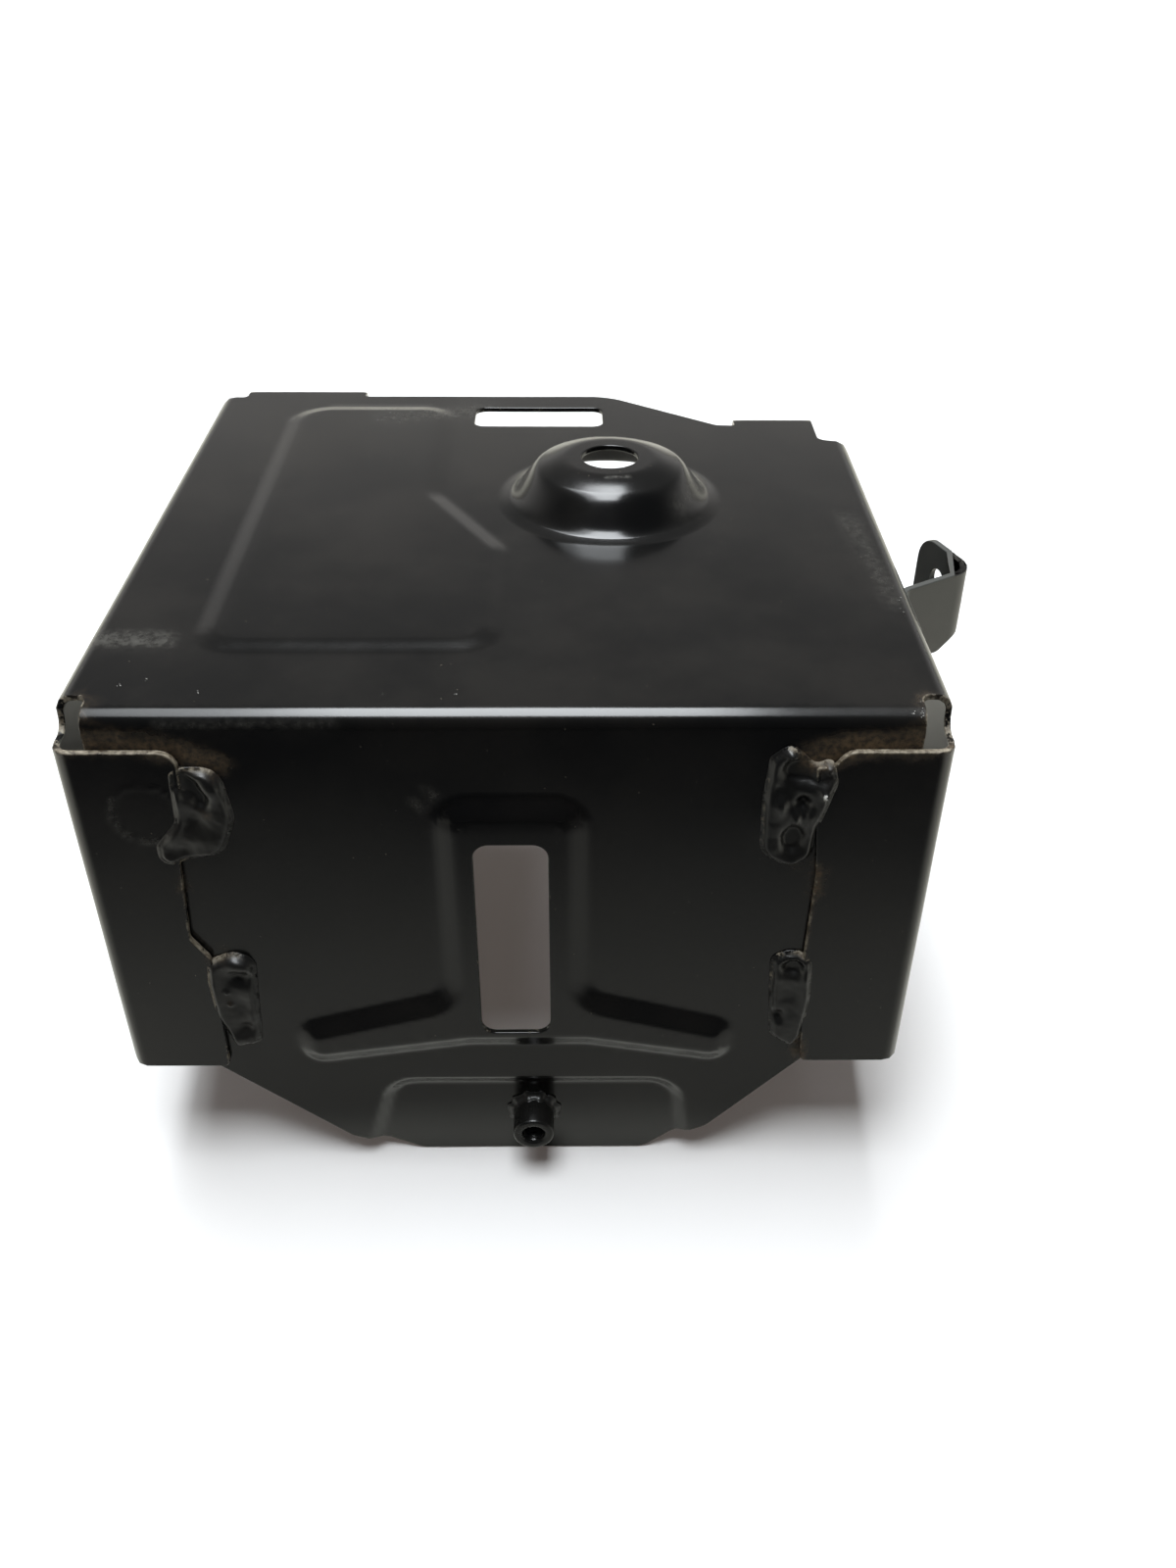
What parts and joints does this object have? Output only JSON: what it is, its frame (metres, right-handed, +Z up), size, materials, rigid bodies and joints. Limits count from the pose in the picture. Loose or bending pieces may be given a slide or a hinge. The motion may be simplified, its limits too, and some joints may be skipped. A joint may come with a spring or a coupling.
{
  "type": "hydraulic reservoir carrier",
  "caption": "Folded and welded steel carrier, open below and behind, with a domed hole, slots, a threaded boss and a side hook, for carrying a hydraulic reservoir.",
  "frame": {"origin": "middle of the underside of the overall box", "axes": "+X to the right-hand wall with the hook, +Y to the open rear, +Z up through the top panel"},
  "size_m": [0.2662, 0.247, 0.19],
  "materials": {
    "pressing_paint": "semi-gloss black paint over sheet steel, rusty at cut edges",
    "weld_paint": "semi-gloss black paint over uneven weld metal",
    "boss_paint": "black paint, worn bright on the end face",
    "hook_paint": "semi-gloss black paint over steel strip"
  },
  "bodies": {
    "root": {"carrier_pressing": "pressing_paint", "weld_upper_left": "weld_paint", "weld_lower_left": "weld_paint", "weld_upper_right": "weld_paint", "weld_lower_right": "weld_paint", "threaded_boss": "boss_paint", "boss_weld": "weld_paint", "side_hook": "hook_paint", "hook_weld_top": "weld_paint", "hook_weld_bottom": "weld_paint"}
  },
  "joints": []
}
